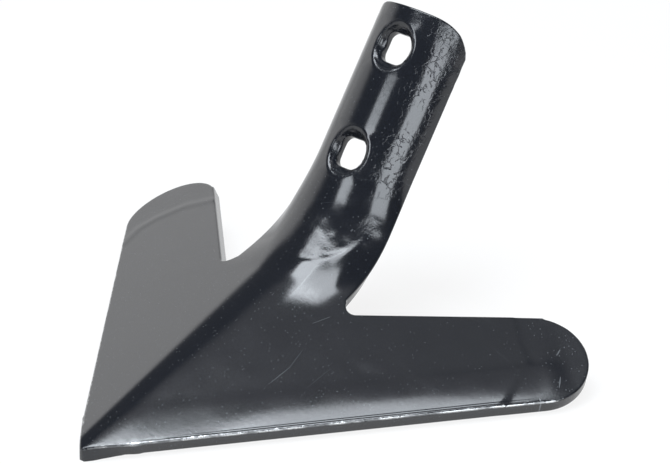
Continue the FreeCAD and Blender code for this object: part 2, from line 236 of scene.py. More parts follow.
@dataclass
class Blank:
    """The flat plate of the share: outline, punched holes and the marks of its pressing."""

    sizes: PressSizes
    press: Press
    cell: float = 1.4
    edge_round: float = 0.8
    pull: float = 0.45
    neck_columns: int = 24
    top_rows: int = 4
    tip_cuts: int = 30
    notch_cuts: int = 8
    window_cells: int = 9
    window_spread: float = 1.08
    wall_cuts: int = 6
    mesh: bmesh.types.BMesh = field(default_factory=bmesh.new)

    def build(self) -> bmesh.types.BMesh:
        """Make the whole blank, still flat.

        Returns:
            The blank's mesh, in millimetres.
        """
        self.lay_grid()
        self.cut_outline()
        self.cut_notch()
        self.fit_stem()
        self.mirror()
        rims = [self.open_window(place) for place in self.sizes.hole_places]
        under = self.add_underside()
        self.turn_edge(rims)
        for place, rim in zip(self.sizes.hole_places, rims):
            self.sink_hole(place, rim)
        self.settle_order()
        bmesh.ops.remove_doubles(self.mesh, verts=self.mesh.verts[:], dist=0.01)
        bmesh.ops.recalc_face_normals(self.mesh, faces=self.mesh.faces[:])
        log.info("blank: %d faces, %d on the underside", len(self.mesh.faces), under)
        return self.mesh

    def settle_order(self) -> None:
        """Sort edges and faces by their points, so that every run gives the same mesh."""
        self.mesh.verts.index_update()
        count = len(self.mesh.verts)

        def rank(item: bmesh.types.BMEdge | bmesh.types.BMFace) -> int:
            """Give one number for the item's first three points."""
            first, second, *more = sorted(vert.index for vert in item.verts)
            return (first * count + second) * count + (more[0] if more else 0)

        self.mesh.edges.sort(key=rank)
        self.mesh.faces.sort(key=rank)

    def stops(self, knots: Sequence[tuple[float, int]]) -> list[float]:
        """Spread grid lines between knots.

        Args:
            knots: Each knot's place and the number of cells before it.

        Returns:
            The places of all grid lines.
        """
        places = [knots[0][0]]
        for place, cells in knots[1:]:
            start = places[-1]
            places += [blend(start, place, step / cells) for step in range(1, cells + 1)]
        return places

    def cells(self, length: float) -> int:
        """Give the number of grid cells that a length takes."""
        return max(1, round(length / self.cell))

    def lay_grid(self) -> None:
        """Lay one half of the plate out as a grid whose lines meet the neck and the holes."""
        sizes = self.sizes
        side = sizes.throat_half
        reach = sizes.edge_length * math.sin(sizes.splay) + sizes.tip_radius
        window = self.window_cells * self.cell
        low, high = sizes.hole_places
        columns = self.stops([(0.0, 0), (side, self.neck_columns), (reach, self.cells(reach - side))])
        rows = self.stops([
            (0.0, 0),
            (sizes.ridge_run, self.cells(sizes.ridge_run)),
            (low - window, self.cells(low - window - sizes.ridge_run)),
            (low + window, 2 * self.window_cells),
            (high - window, self.cells(high - low - 2 * window)),
            (high + window, 2 * self.window_cells),
            (sizes.stem_top - self.edge_round, self.top_rows),
        ])
        wide, tall = len(columns) - 1, len(rows) - 1
        bmesh.ops.create_grid(self.mesh, x_segments=wide, y_segments=tall, size=1.0)
        for vert in self.mesh.verts:
            column = round((vert.co.x + 1.0) / 2.0 * wide)
            row = round((vert.co.y + 1.0) / 2.0 * tall)
            vert.co = Vector((columns[column], rows[row], 0.0))

    def edge_point(self, along_edge: float, inward: float) -> Vector:
        """Turn a place measured from the cutting edge into one on the blank.

        Args:
            along_edge: Distance from the nose along the cutting edge.
            inward: Distance from the cutting edge.

        Returns:
            The place on the blank.
        """
        turn = self.sizes.splay
        across = along_edge * math.sin(turn) - inward * math.cos(turn) - self.sizes.fold_gain
        along = along_edge * math.cos(turn) + inward * math.sin(turn)
        return Vector((across, along, 0.0))

    def edge_normal(self, angle: float) -> Vector:
        """Give the outward direction on the blank that stands at an angle to the cutting edge's own."""
        return (self.edge_point(math.sin(angle), -math.cos(angle)) - self.edge_point(0.0, 0.0)).normalized()

    def slice(self, point: Vector, normal: Vector, inside: Callable[[Vector], bool], pulls: bool = True) -> None:
        """Cut grid lines into one region of the blank, and pull near grid points onto the cut.

        Args:
            point: A point of the cut.
            normal: The cut's normal.
            inside: Says whether a face is in the region, by its middle.
            pulls: Whether near grid points are pulled onto the cut.
        """
        faces = [face for face in self.mesh.faces if inside(face.calc_center_median())]
        edges = list(dict.fromkeys(edge for face in faces for edge in face.edges))
        verts = list(dict.fromkeys(vert for face in faces for vert in face.verts))
        side = self.sizes.throat_half
        for vert in verts:
            gap = (vert.co - point).dot(normal)
            if not pulls or abs(gap) >= self.pull:
                continue
            if abs(vert.co.x) < 1e-4 or abs(vert.co.x - side) < 1e-4:
                if abs(normal.y) > 0.3:
                    vert.co.y -= gap / normal.y
            else:
                vert.co -= normal * gap
        bmesh.ops.bisect_plane(self.mesh, geom=verts + edges + faces, dist=0.05, plane_co=point, plane_no=normal)

    def drop(self, outside: Callable[[Vector], bool]) -> None:
        """Delete the faces whose middle is outside."""
        faces = [face for face in self.mesh.faces if outside(face.calc_center_median())]
        bmesh.ops.delete(self.mesh, geom=faces, context="FACES")

    def cut_outline(self) -> None:
        """Cut the cutting edge, the nose and the round wing tip."""
        sizes = self.sizes
        inset = self.edge_round

        def trim(point: Vector, normal: Vector, region: Callable[[Vector], bool], pulls: bool = True) -> None:
            """Cut a region of the blank and drop what lies past the cut."""
            self.slice(point, normal, region, pulls)
            self.drop(lambda middle: region(middle) and (middle - point).dot(normal) > 0.0)

        trim(self.edge_point(0.0, inset), self.edge_normal(0.0), lambda middle: True)
        nose = Vector((0.0, sizes.nose_blunt / math.cos(math.radians(sizes.ridge_rise)), 0.0))
        run_in = self.edge_point(sizes.nose_reach, 0.0) - nose - Vector((sizes.nose_half, 0.0, 0.0))
        aside = Vector((run_in.y, -run_in.x, 0.0)).normalized()
        nose_end = sizes.nose_reach + 3.0
        trim(nose + Vector((sizes.nose_half, 0.0, 0.0)) - aside * inset, aside, lambda middle: middle.y < nose_end)
        trim(nose + Vector((0.0, inset, 0.0)), Vector((0.0, -1.0, 0.0)), lambda middle: middle.y < 20.0)
        centre = self.edge_point(sizes.edge_length - sizes.tip_radius, sizes.tip_radius)
        radius = sizes.tip_radius - inset
        last = math.pi - math.radians(sizes.edge_taper)
        outer = sizes.throat_half + 30.0
        for vert in self.mesh.verts:
            reach = vert.co - centre
            angle = reach.angle(self.edge_normal(0.0)) if reach.length > 1.0 else 0.0
            ahead = reach.dot(self.edge_normal(math.pi / 2.0)) > 0.0
            if ahead and angle < last and abs(reach.length - radius) < self.pull:
                vert.co = centre + reach.normalized() * radius
        for step in range(self.tip_cuts + 1):
            normal = self.edge_normal(last * step / self.tip_cuts)
            trim(centre + normal * radius, normal, lambda middle: middle.x > outer, step == self.tip_cuts)

    def cut_notch(self) -> None:
        """Cut the wing's rear edge and the round notch beside the neck."""
        sizes = self.sizes
        inset = self.edge_round
        side = sizes.throat_half
        flare = math.radians(sizes.notch_flare)
        last = math.pi - math.radians(sizes.edge_taper)
        rear_normal = self.edge_normal(last)
        tip = self.edge_point(sizes.edge_length - sizes.tip_radius, sizes.tip_radius)
        rear_point = tip + rear_normal * (sizes.tip_radius - inset)
        flare_normal = Vector((math.cos(flare), math.sin(flare), 0.0))
        foot = Vector((side, sizes.ridge_run + sizes.notch_foot, 0.0))
        flare_point = foot - flare_normal * inset

        def beyond(middle: Vector) -> bool:
            """Say whether a face is on the wing."""
            return middle.x > side

        self.slice(rear_point, rear_normal, beyond)
        self.slice(flare_point, flare_normal, lambda middle: side < middle.x < side + 25.0)
        radius = sizes.notch_radius + inset
        opening = rear_normal.angle(flare_normal)
        middle_normal = (rear_normal + flare_normal).normalized()
        cross = rear_normal.x * flare_normal.y - rear_normal.y * flare_normal.x
        rear_gap, flare_gap = rear_point.dot(rear_normal), flare_point.dot(flare_normal)
        corner = Vector((
            (rear_gap * flare_normal.y - flare_gap * rear_normal.y) / cross,
            (flare_gap * rear_normal.x - rear_gap * flare_normal.x) / cross,
            0.0,
        ))
        centre = corner + middle_normal * (radius / math.cos(opening / 2.0))
        walls = [(rear_point, rear_normal), (flare_point, flare_normal)]
        for step in range(1, self.notch_cuts):
            normal = rear_normal.lerp(flare_normal, step / self.notch_cuts).normalized()
            point = centre - normal * radius
            self.slice(point, normal, lambda middle: beyond(middle) and (middle - centre).length < 12.0, False)
            walls.append((point, normal))
        self.drop(lambda middle: beyond(middle) and all((middle - p).dot(n) > 0.0 for p, n in walls))
        bmesh.ops.remove_doubles(self.mesh, verts=self.mesh.verts[:], dist=0.12)

    def fit_stem(self) -> None:
        """Stretch the neck and stem to their width, and round the stem's top corners."""
        sizes = self.sizes
        inset = self.edge_round
        foot = sizes.ridge_run + sizes.notch_foot
        round_start = sizes.stem_top - 2.2 * sizes.corner_radius
        fall, half, _ = self.press.shape_at(sizes.stem_top)
        flank = half - sizes.fold_radius * fall
        inner = sizes.fold_radius - sizes.plate
        depth = sizes.fold_radius - inner * math.cos(fall) + flank * math.sin(fall)
        level = depth - sizes.corner_radius
        for vert in self.mesh.verts:
            if vert.co.x > sizes.throat_half + 1e-3 or vert.co.y < sizes.ridge_run:
                continue
            _, wide, _ = self.press.shape_at(vert.co.y)
            ease = smooth((vert.co.y - sizes.ridge_run) / (foot - sizes.ridge_run))
            goal = wide - inset * ease
            vert.co.x *= blend(1.0, goal / sizes.throat_half, smooth(vert.co.x / sizes.throat_half))
        for vert in self.mesh.verts:
            if vert.co.x > half + 0.5 or vert.co.y < round_start:
                continue
            turn = min(vert.co.x / sizes.fold_radius, fall)
            deep = sizes.fold_radius * (1.0 - math.cos(turn)) - level
            if deep <= 0.0:
                continue
            deep = min(deep / (sizes.corner_radius - inset), 0.995)
            loss = (sizes.corner_radius - inset) * (1.0 - math.sqrt(1.0 - deep * deep))
            share = (vert.co.y - round_start) / (sizes.stem_top - inset - round_start)
            vert.co.y -= loss * share

    def mirror(self) -> None:
        """Make the other half, join it at the crest, and turn every face up."""
        geometry = self.mesh.verts[:] + self.mesh.edges[:] + self.mesh.faces[:]
        bmesh.ops.mirror(self.mesh, geom=geometry, matrix=Matrix.Identity(4), merge_dist=0.01, axis="X")
        down = [face for face in self.mesh.faces if face.normal.z < 0.0]
        bmesh.ops.reverse_faces(self.mesh, faces=down)

    def open_window(self, place: float) -> list[tuple[float, float]]:
        """Take out the faces around one bolt hole.

        Args:
            place: The hole's place along the crest.

        Returns:
            The window's edge points, as rounded places across and along.
        """
        across = self.sizes.throat_half / self.neck_columns * self.window_cells * self.window_spread
        window = self.window_cells * self.cell
        before = {edge for edge in self.mesh.edges if edge.is_boundary}
        self.drop(lambda middle: abs(middle.x) < across and abs(middle.y - place) < window)
        rim = {vert for edge in self.mesh.edges if edge.is_boundary and edge not in before for vert in edge.verts}
        return [self.key(vert.co) for vert in rim]

    @staticmethod
    def key(point: Vector) -> tuple[float, float]:
        """Give a place's rounded coordinates, to find it again."""
        return round(point.x, 3), round(point.y, 3)

    def add_underside(self) -> int:
        """Copy the upper face to the plate's lower one.

        Returns:
            The number of faces made.
        """
        geometry = self.mesh.verts[:] + self.mesh.edges[:] + self.mesh.faces[:]
        copy = bmesh.ops.duplicate(self.mesh, geom=geometry)["geom"]
        verts = [item for item in copy if isinstance(item, bmesh.types.BMVert)]
        faces = [item for item in copy if isinstance(item, bmesh.types.BMFace)]
        bmesh.ops.translate(self.mesh, verts=verts, vec=Vector((0.0, 0.0, -self.sizes.plate)))
        bmesh.ops.reverse_faces(self.mesh, faces=faces)
        return len(faces)

    def grow_ring(self, ring: list[bmesh.types.BMEdge], source: dict) -> tuple[list, dict]:
        """Extrude a loop of edges once.

        Args:
            ring: The edges to extrude.
            source: What each point of the loop was grown from.

        Returns:
            The new loop's edges, and the same record for its points.
        """
        grown = bmesh.ops.extrude_edge_only(self.mesh, edges=ring)["geom"]
        verts = {item for item in grown if isinstance(item, bmesh.types.BMVert)}
        edges = [item for item in grown if isinstance(item, bmesh.types.BMEdge)]
        record = {}
        for vert in verts:
            for edge in vert.link_edges:
                other = edge.other_vert(vert)
                if other not in verts and other in source:
                    record[vert] = source[other]
        return edges, record

    def outward(self, edges: Iterable[bmesh.types.BMEdge]) -> dict:
        """Work out which way the plate ends at each point of its outline.

        Args:
            edges: The outline's edges on the upper face.

        Returns:
            For each point, its place and the outward direction, longer at a corner.
        """
        gathered: dict = {}
        for edge in edges:
            span = edge.verts[1].co - edge.verts[0].co
            normal = Vector((span.y, -span.x, 0.0)).normalized()
            middle = (edge.verts[0].co + edge.verts[1].co) / 2.0
            if (edge.link_faces[0].calc_center_median() - middle).dot(normal) > 0.0:
                normal.negate()
            for vert in edge.verts:
                gathered.setdefault(vert, []).append(normal)
        result = {}
        for vert, normals in gathered.items():
            total = sum(normals, Vector()).normalized()
            lean = max(total.dot(normals[0]), 0.6)
            result[vert] = (vert.co.copy(), total / lean)
        return result

    def turn_edge(self, rims: Sequence[Sequence[tuple[float, float]]]) -> None:
        """Run the rounded cut edge from the upper face to the underside.

        Args:
            rims: The bolt holes' window points, which get their own walls.
        """
        taken = {key for rim in rims for key in rim}
        plate, soft = self.sizes.plate, self.edge_round
        ring = [
            edge for edge in self.mesh.edges
            if edge.is_boundary and edge.verts[0].co.z > -1.0
            and not all(self.key(vert.co) in taken for vert in edge.verts)
        ]
        source = self.outward(ring)
        quarter = [math.radians(22.5 * step) for step in range(1, 5)]
        profile = [(soft * math.sin(turn), soft * (1.0 - math.cos(turn))) for turn in quarter]
        rows = profile + [(soft, blend(soft, plate - soft, step / 5.0)) for step in range(1, 5)]
        rows += [(out, plate - down) for out, down in reversed(profile)] + [(0.0, plate)]
        for out, down in rows:
            ring, source = self.grow_ring(ring, source)
            for vert, (start, way) in source.items():
                ahead = out + down * self.nose_lean(start)
                vert.co = start + way * ahead - Vector((0.0, 0.0, down))

    def nose_lean(self, start: Vector) -> float:
        """Say how far the cut edge leans out with its depth, so that it turns upright at the nose."""
        sizes = self.sizes
        reach = sizes.nose_reach * math.cos(sizes.splay)
        share = (start.y - sizes.nose_blunt) / (reach - sizes.nose_blunt)
        if share >= 1.0:
            return 0.0
        lift = math.acos(math.cos(math.radians(sizes.flank_fall)) * math.cos(math.radians(sizes.ridge_rise)))
        flank = blend(math.tan(math.radians(sizes.ridge_rise)), math.tan(lift), smooth(abs(start.x) / 4.0))
        return flank * (1.0 - max(share, 0.0))

    def slot_reach(self, angle: float) -> float:
        """Give the distance from a bolt hole's middle to its wall, a square with round corners."""
        sizes = self.sizes
        aside, ahead = abs(math.cos(angle)), abs(math.sin(angle))
        wide, tall, corner = sizes.slot_width / 2.0, sizes.slot_length / 2.0, sizes.slot_corner
        if wide * ahead <= (tall - corner) * aside:
            return wide / aside
        if tall * aside <= (wide - corner) * ahead:
            return tall / ahead
        lean = aside * (wide - corner) + ahead * (tall - corner)
        gap = (wide - corner) ** 2 + (tall - corner) ** 2
        return lean + math.sqrt(corner * corner - gap + lean * lean)

    def hole_point(self, place: float, angle: float, radius: float, height: float) -> Vector:
        """Lay a point of a bolt hole, given on the bent stem, back on the flat blank."""
        fold = self.sizes.fold_radius
        aside = radius * math.cos(angle)
        reach = math.hypot(aside, fold + height)
        across = fold * math.atan2(aside, fold + height)
        return Vector((across, place + radius * math.sin(angle), reach - fold))

    def skin(self, angle: float, radius: float, drop: float) -> float:
        """Give the height of the stem's bent face, or of one that lies under it by a drop, round a bolt hole."""
        aside = radius * math.cos(angle)
        return math.sqrt((self.sizes.fold_radius - drop) ** 2 - aside * aside) - self.sizes.fold_radius

    def wall_points(self, place: float, angle: float) -> list[Vector]:
        """Work out the wall of a bolt hole at one angle: soft rim, dented countersink, square hole, soft end.

        Args:
            place: The hole's place along the crest.
            angle: The angle round the hole in radians.

        Returns:
            The wall's points on the blank, from the upper face to the underside.
        """
        sizes, plate = self.sizes, self.sizes.plate
        slope = math.tan(math.radians(sizes.sink_angle / 2.0))
        wide = sizes.sink_width / 2.0
        for _ in range(12):
            wide = sizes.sink_width / 2.0 + slope * self.skin(angle, wide, 0.0)
        slot = self.slot_reach(angle)
        start = -(sizes.sink_width / 2.0 - slot) / slope
        end = self.skin(angle, slot, plate)
        points = [(wide + 1.5, self.skin(angle, wide + 1.5, 0.0)),
                  (wide + 0.8, self.skin(angle, wide + 0.8, 0.0) - 0.07),
                  (wide + 0.2, self.skin(angle, wide, 0.0) - 0.32)]
        way = Vector((math.cos(angle), math.sin(angle), 0.0))
        for step in range(1, self.wall_cuts + 1):
            radius = blend(wide, slot + 0.35, step / self.wall_cuts)
            dent = 0.55 * noise.noise(way * 2.1 + Vector((0.0, 0.0, step * 0.55 + place)))
            dent += 0.30 * noise.noise(way * 5.3 + Vector((0.0, 0.0, step * 1.3)))
            ease = math.sin(math.pi * step / (self.wall_cuts + 1.0))
            points.append((radius + dent * ease, (radius - sizes.sink_width / 2.0) / slope))
        points += [(slot + 0.05, start - 0.25), (slot, blend(start, end, 0.5)), (slot, end + 0.35),
                   (slot + 0.1, end + 0.1), (slot + 0.4, self.skin(angle, slot + 0.4, plate)),
                   (slot * 1.1 + 0.6, self.skin(angle, slot * 1.1 + 0.6, plate))]
        return [self.hole_point(place, angle, radius, height) for radius, height in points]

    def sink_hole(self, place: float, rim: Sequence[tuple[float, float]]) -> None:
        """Make the countersink and the square hole under it, from the upper face to the underside.

        Args:
            place: The hole's place along the crest.
            rim: The window's edge points.
        """
        keys = set(rim)
        ring = [
            edge for edge in self.mesh.edges
            if edge.is_boundary and edge.verts[0].co.z > -1.0
            and all(self.key(vert.co) in keys for vert in edge.verts)
        ]
        source = {vert: vert.co.copy() for edge in ring for vert in edge.verts}
        paths = {}
        for start in source.values():
            paths[self.key(start)] = self.wall_points(place, math.atan2(start.y - place, start.x))
        for step in range(len(next(iter(paths.values())))):
            ring, source = self.grow_ring(ring, source)
            for vert, start in source.items():
                vert.co = paths[self.key(start)][step]
        ring, source = self.grow_ring(ring, source)
        for vert, start in source.items():
            vert.co = start - Vector((0.0, 0.0, self.sizes.plate))


@dataclass(frozen=True)
class Stroke:
    """A mark along a line of corners on the blank, with its height and the width in which it fades."""

    path: tuple[tuple[float, float], ...]
    height: float
    width: float


@dataclass(frozen=True)
class Spot:
    """A round patch of rough paint, with its place on the blank and how rough it is."""

    across: float
    along: float
    radius: float
    weight: float


class Relief:
    """Marks that pressing and handling left on the plate, as heights over the blank's faces."""

    strokes: tuple[Stroke, ...] = (
        Stroke(((-118.0, 141.0), (-119.5, 153.0), (-115.0, 162.0), (-105.0, 172.0), (-88.0, 179.0)), 0.16, 4.2),
        Stroke(((60.0, 118.0), (74.0, 122.0), (84.0, 132.0)), 0.09, 7.0),
        Stroke(((52.0, 112.0), (66.0, 111.0), (80.0, 119.0)), -0.08, 6.0),
    )
    tip_line: tuple[tuple[float, float], ...] = (
        (88.0, 184.0), (101.0, 172.0), (113.0, 164.0), (114.5, 151.0), (118.0, 136.0),
    )
    crease: tuple[tuple[float, float], ...] = (
        (4.5, 141.0), (9.0, 143.0), (13.0, 147.5), (17.0, 152.0), (20.5, 157.5),
    )
    crease_depth = 0.55
    spots: tuple[Spot, ...] = (
        Spot(9.0, 150.0, 10.0, 1.0), Spot(20.0, 163.0, 9.0, 1.0), Spot(14.0, 176.0, 6.0, 0.5),
        Spot(12.0, 190.0, 8.0, 0.6), Spot(1.0, 160.0, 8.0, 0.7), Spot(24.0, 165.0, 7.0, 0.9),
    )
    sink_scuff = 0.8
    crown_width = 15.0
    crown_ends = (0.30, 1.20)
    cove_height = 2.2
    cove_run = 32.0
    cove_start = 112.0
    cove_end = 174.0

    def __init__(self, sizes: PressSizes) -> None:
        """Keep the sizes."""
        self.sizes = sizes

    @staticmethod
    def nearest(point: Vector, path: Sequence[tuple[float, float]]) -> tuple[float, float]:
        """Find how far a point is from a line of strokes.

        Args:
            point: The point on the blank.
            path: The line's corners, as places across and along.

        Returns:
            The distance, and which side the point is on: 1 on the left of the line's way, else -1.
        """
        best, side = 1e9, 1.0
        spot = Vector((point.x, point.y))
        for (ax, ay), (bx, by) in zip(path, path[1:]):
            start, span = Vector((ax, ay)), Vector((bx - ax, by - ay))
            share = min(max((spot - start).dot(span) / span.length_squared, 0.0), 1.0)
            gap = spot - start - span * share
            if gap.length < best:
                best, side = gap.length, math.copysign(1.0, span.x * gap.y - span.y * gap.x)
        return best, side

    def from_edge(self, point: Vector) -> tuple[float, float]:
        """Give a point's distance from the nose along the cutting edge, and its distance from that edge."""
        turn = self.sizes.splay
        across = abs(point.x) + self.sizes.fold_gain
        along = across * math.sin(turn) + point.y * math.cos(turn)
        return along, point.y * math.sin(turn) - across * math.cos(turn)

    def on_neck(self, point: Vector) -> float:
        """Say how far a point is on the neck or stem, from 0 on the wings to 1."""
        return smooth((point.y - self.sizes.ridge_run) / 12.0) * (1.0 if abs(point.x) < 37.0 else 0.0)

    def crackle(self, point: Vector) -> float:
        """Say how far the paint is wrinkled at a point, along the near side of the stem."""
        middle = 22.0 + 3.5 * noise.noise(Vector((0.0, point.y / 17.0, 4.0)))
        band = smooth(1.0 - abs(point.x - middle) / 11.0) ** 0.6
        patchy = smooth(0.62 + 1.3 * noise.noise(Vector((point.x / 15.0, point.y / 17.0, 9.0))))
        patchy = max(patchy, 0.9 * smooth((point.y - 246.0) / 12.0))
        return band * patchy * smooth((point.y - 176.0) / 14.0)

    def scuff(self, point: Vector) -> float:
        """Say how rough the paint is at a point: round the crease, beside the lower hole and at the tips."""
        sunk = min(abs(point.y - place) for place in self.sizes.hole_places)
        if point.z < -0.25 and math.hypot(sunk, point.x) < self.sizes.sink_width / 2.0 + 1.25:
            return self.sink_scuff
        total = 0.0
        for spot in self.spots:
            gap = math.hypot(point.x - spot.across, point.y - spot.along)
            total = max(total, spot.weight * smooth(1.25 - gap / spot.radius))
        past = self.from_edge(point)[0] - 196.0
        tip = smooth(past / 14.0) if point.x > 0.0 else 0.5 * smooth(past / 20.0)
        return max(total, 0.75 * tip)

    def crown(self, point: Vector, along: float, inward: float) -> float:
        """Give the height of the near wing's faint crown, which runs along its cutting edge."""
        if point.x < 0.0 or inward < 0.0:
            return 0.0
        rise = blend(*self.crown_ends, smooth((along - 30.0) / 130.0)) * smooth((216.0 - along) / 12.0)
        if inward < self.crown_width:
            return rise * (1.0 - (1.0 - inward / self.crown_width) ** 2)
        fall = smooth((inward - self.crown_width) / 8.0) * 0.42
        width = min(85.0, 45.0 + 0.139 * (202.0 - along))
        return rise * (1.0 - fall) * max(1.0 - max(inward - 18.0, 0.0) / max(width - 18.0, 20.0), 0.0)

    def cove(self, point: Vector) -> float:
        """Give the height of the soft run where the near wing starts to turn up into the neck."""
        if not 100.0 < point.y < self.cove_end:
            return 0.0
        ahead = point.y - 0.6 * (point.x - 10.0) - 1.5 * max(12.0 - point.x, 0.0)
        beside = smooth((point.x + 16.0) / 24.0) * smooth((36.0 - point.x) / 13.0)
        start, end = ahead - self.cove_start, self.cove_end - point.y
        return self.cove_height * beside * smooth(start / self.cove_run) * smooth(end / self.cove_run)

    def height(self, point: Vector) -> float:
        """Give the height of all marks at a point of the blank's upper face.

        Args:
            point: The point on the blank.

        Returns:
            The height in millimetres, negative where the face is dented.
        """
        along, inward = self.from_edge(point)
        neck = self.on_neck(point)
        side = 3.0 if point.x > 0.0 else 31.0
        total = self.waves(point, along, inward, side, neck)
        total += self.crown(point, along, inward) * (1.0 - neck) + self.cove(point)
        total += self.pressed(point)
        rough = self.scuff(point) * neck
        spot = Vector((point.x, point.y, 0.0))
        total += 0.34 * rough * noise.noise(spot / 3.6) + 0.16 * rough * noise.noise(spot / 1.9)
        total += 0.05 * self.crackle(point) * noise.noise(spot / 4.4 + Vector((3.0, 1.0, 0.0)))
        chips = smooth(1.2 - abs(inward) / 1.4) * noise.noise(Vector((along / 2.6, 3.0, side)))
        return total - (0.12 + 0.3 * smooth(1.0 - along / 90.0)) * max(chips, 0.0) * (1.0 - neck)

    @staticmethod
    def waves(point: Vector, along: float, inward: float, side: float, neck: float) -> float:
        """Give the height of the plate's own faint waves.

        Args:
            point: The point on the blank.
            along: Its distance from the nose along the cutting edge.
            inward: Its distance from the cutting edge.
            side: A number that differs between the wings.
            neck: How far the point is on the neck.

        Returns:
            The height in millimetres.
        """
        wave = 0.04 * noise.noise(Vector((along / 52.0, inward / 15.0, side)))
        wave += 0.02 * noise.noise(Vector((along / 26.0, inward / 7.0, side + 5.0)))
        wave *= 1.0 if point.x > 0.0 else 0.35
        return blend(wave, 0.05 * noise.noise(Vector((point.x / 15.0, point.y / 34.0, 8.0))), neck)

    def pressed(self, point: Vector) -> float:
        """Give the height of the press lines, the bent-down tip and the crease.

        Args:
            point: The point on the blank.

        Returns:
            The height in millimetres.
        """
        total = 0.0
        for stroke in self.strokes:
            gap, _ = self.nearest(point, stroke.path)
            total += stroke.height * smooth(1.0 - gap / stroke.width)
        if point.x > 70.0:
            gap, beyond = self.nearest(point, self.tip_line)
            total -= 0.30 * smooth((beyond * gap + 1.6) / 3.2)
            total -= 0.5 * smooth(beyond * gap / 40.0)
        gap, above = self.nearest(point, self.crease)
        if gap < 16.0 and 136.0 < point.y < 172.0:
            dent = smooth(1.0 - gap / (14.0 if above > 0.0 else 1.3))
            total -= self.crease_depth * dent * smooth((point.x - 0.5) / 6.0)
        return total


class Share:
    """The share's visible piece: the blank, bent by the press."""

    face_end = -0.5
    marks_end = -5.5
    under_share = 0.5

    def __init__(self, sizes: PressSizes) -> None:
        """Set up the press and the blank."""
        self.press = Press(sizes)
        self.blank = Blank(sizes, self.press)
        self.relief = Relief(sizes)

    def build(self) -> bpy.types.Object:
        """Make the piece and put it in the place of its CAD node.

        Returns:
            The piece.
        """
        mesh = self.blank.build()
        layer = mesh.verts.layers.float_vector.new("blank")
        marks = {
            mesh.verts.layers.float.new("crackle"): self.relief.crackle,
            mesh.verts.layers.float.new("scuff"): self.relief.scuff,
        }
        for vert in mesh.verts:
            vert[layer] = vert.co
            for mark, weigh in marks.items():
                vert[mark] = weigh(vert.co) if vert.co.z > self.marks_end else 0.0
            lift = self.relief.height(vert.co) * (self.under_share if vert.co.z < self.face_end else 1.0)
            vert.co = self.press.bend(vert.co + Vector((0.0, 0.0, lift))) * MM
        data = bpy.data.meshes.new("share")
        for face in mesh.faces:
            face.smooth = True
        mesh.to_mesh(data)
        mesh.free()
        piece = bpy.data.objects.new("share", data)
        bpy.context.scene.collection.objects.link(piece)
        even = piece.modifiers.new("even_shading", "WEIGHTED_NORMAL")
        even.mode = "FACE_AREA_WITH_ANGLE"
        even.keep_sharp = True
        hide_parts(NODE)
        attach(piece, "root")
        return piece


class Wiring:
    """Adds nodes to one tree and links them."""

    def __init__(self, tree: bpy.types.NodeTree) -> None:
        """Keep the tree."""
        self.tree = tree

    def add(self, kind: str, **settings: object) -> bpy.types.Node:
        """Add a node.

        Args:
            kind: The node's type.
            settings: Properties to set on it.

        Returns:
            The node.
        """
        node = self.tree.nodes.new(kind)
        for name, value in settings.items():
            setattr(node, name, value)
        return node

    def join(self, source: bpy.types.NodeSocket, target: bpy.types.NodeSocket) -> None:
        """Link two sockets."""
        self.tree.links.new(source, target)

    def feed(self, node: bpy.types.Node, values: dict) -> bpy.types.Node:
        """Give each named or numbered input its link or its value."""
        for key, value in values.items():
            if isinstance(value, bpy.types.NodeSocket):
                self.join(value, node.inputs[key])
            else:
                node.inputs[key].default_value = value
        return node

    def math(self, operation: str, first: object, second: object = 0.0, clamp: bool = False) -> bpy.types.NodeSocket:
        """Work out one sum and give its socket."""
        node = self.add("ShaderNodeMath", operation=operation, use_clamp=clamp)
        return self.feed(node, {0: first, 1: second}).outputs[0]

    def times(self, first: object, second: object) -> bpy.types.NodeSocket:
        """Multiply two values."""
        return self.math("MULTIPLY", first, second)

    def plus(self, first: object, second: object) -> bpy.types.NodeSocket:
        """Add two values."""
        return self.math("ADD", first, second)

    def minus(self, first: object, second: object) -> bpy.types.NodeSocket:
        """Subtract the second value from the first."""
        return self.math("SUBTRACT", first, second)

    def most(self, first: object, second: object) -> bpy.types.NodeSocket:
        """Give the larger of two values."""
        return self.math("MAXIMUM", first, second)

    def noise(self, place: bpy.types.NodeSocket, scale: float, detail: float = 2.0) -> bpy.types.NodeSocket:
        """Lay a cloudy pattern and give its socket."""
        node = self.add("ShaderNodeTexNoise")
        return self.feed(node, {"Vector": place, "Scale": scale, "Detail": detail}).outputs["Fac"]

    def span(self, value: bpy.types.NodeSocket, low: float, high: float, first: float,
             last: float) -> bpy.types.NodeSocket:
        """Carry a value from one span to another, eased and held at the ends."""
        node = self.add("ShaderNodeMapRange", interpolation_type="SMOOTHSTEP")
        ends = {"From Min": low, "From Max": high, "To Min": first, "To Max": last}
        return self.feed(node, {"Value": value, **ends}).outputs["Result"]

    def stretch(self, place: bpy.types.NodeSocket, turn: float, scale: tuple[float, float, float],
                shift: tuple[float, float, float] = (0.0, 0.0, 0.0)) -> bpy.types.NodeSocket:
        """Turn and stretch a pattern's place."""
        node = self.add("ShaderNodeMapping")
        return self.feed(node, {"Vector": place, "Rotation": (0.0, 0.0, turn), "Scale": scale,
                                "Location": shift}).outputs["Vector"]


class GroupMaker:
    """Builds a shader node group with named inputs and outputs."""

    def __init__(self, name: str, inputs: dict[str, str], outputs: dict[str, str]) -> None:
        """Make the group and its sockets."""
        self.tree = bpy.data.node_groups.new(name, "ShaderNodeTree")
        for side, sockets in (("INPUT", inputs), ("OUTPUT", outputs)):
            for socket, kind in sockets.items():
                self.tree.interface.new_socket(socket, in_out=side, socket_type=f"NodeSocket{kind}")
        self.wiring = Wiring(self.tree)
        self.source = self.wiring.add("NodeGroupInput").outputs
        self.sink = self.wiring.add("NodeGroupOutput").inputs


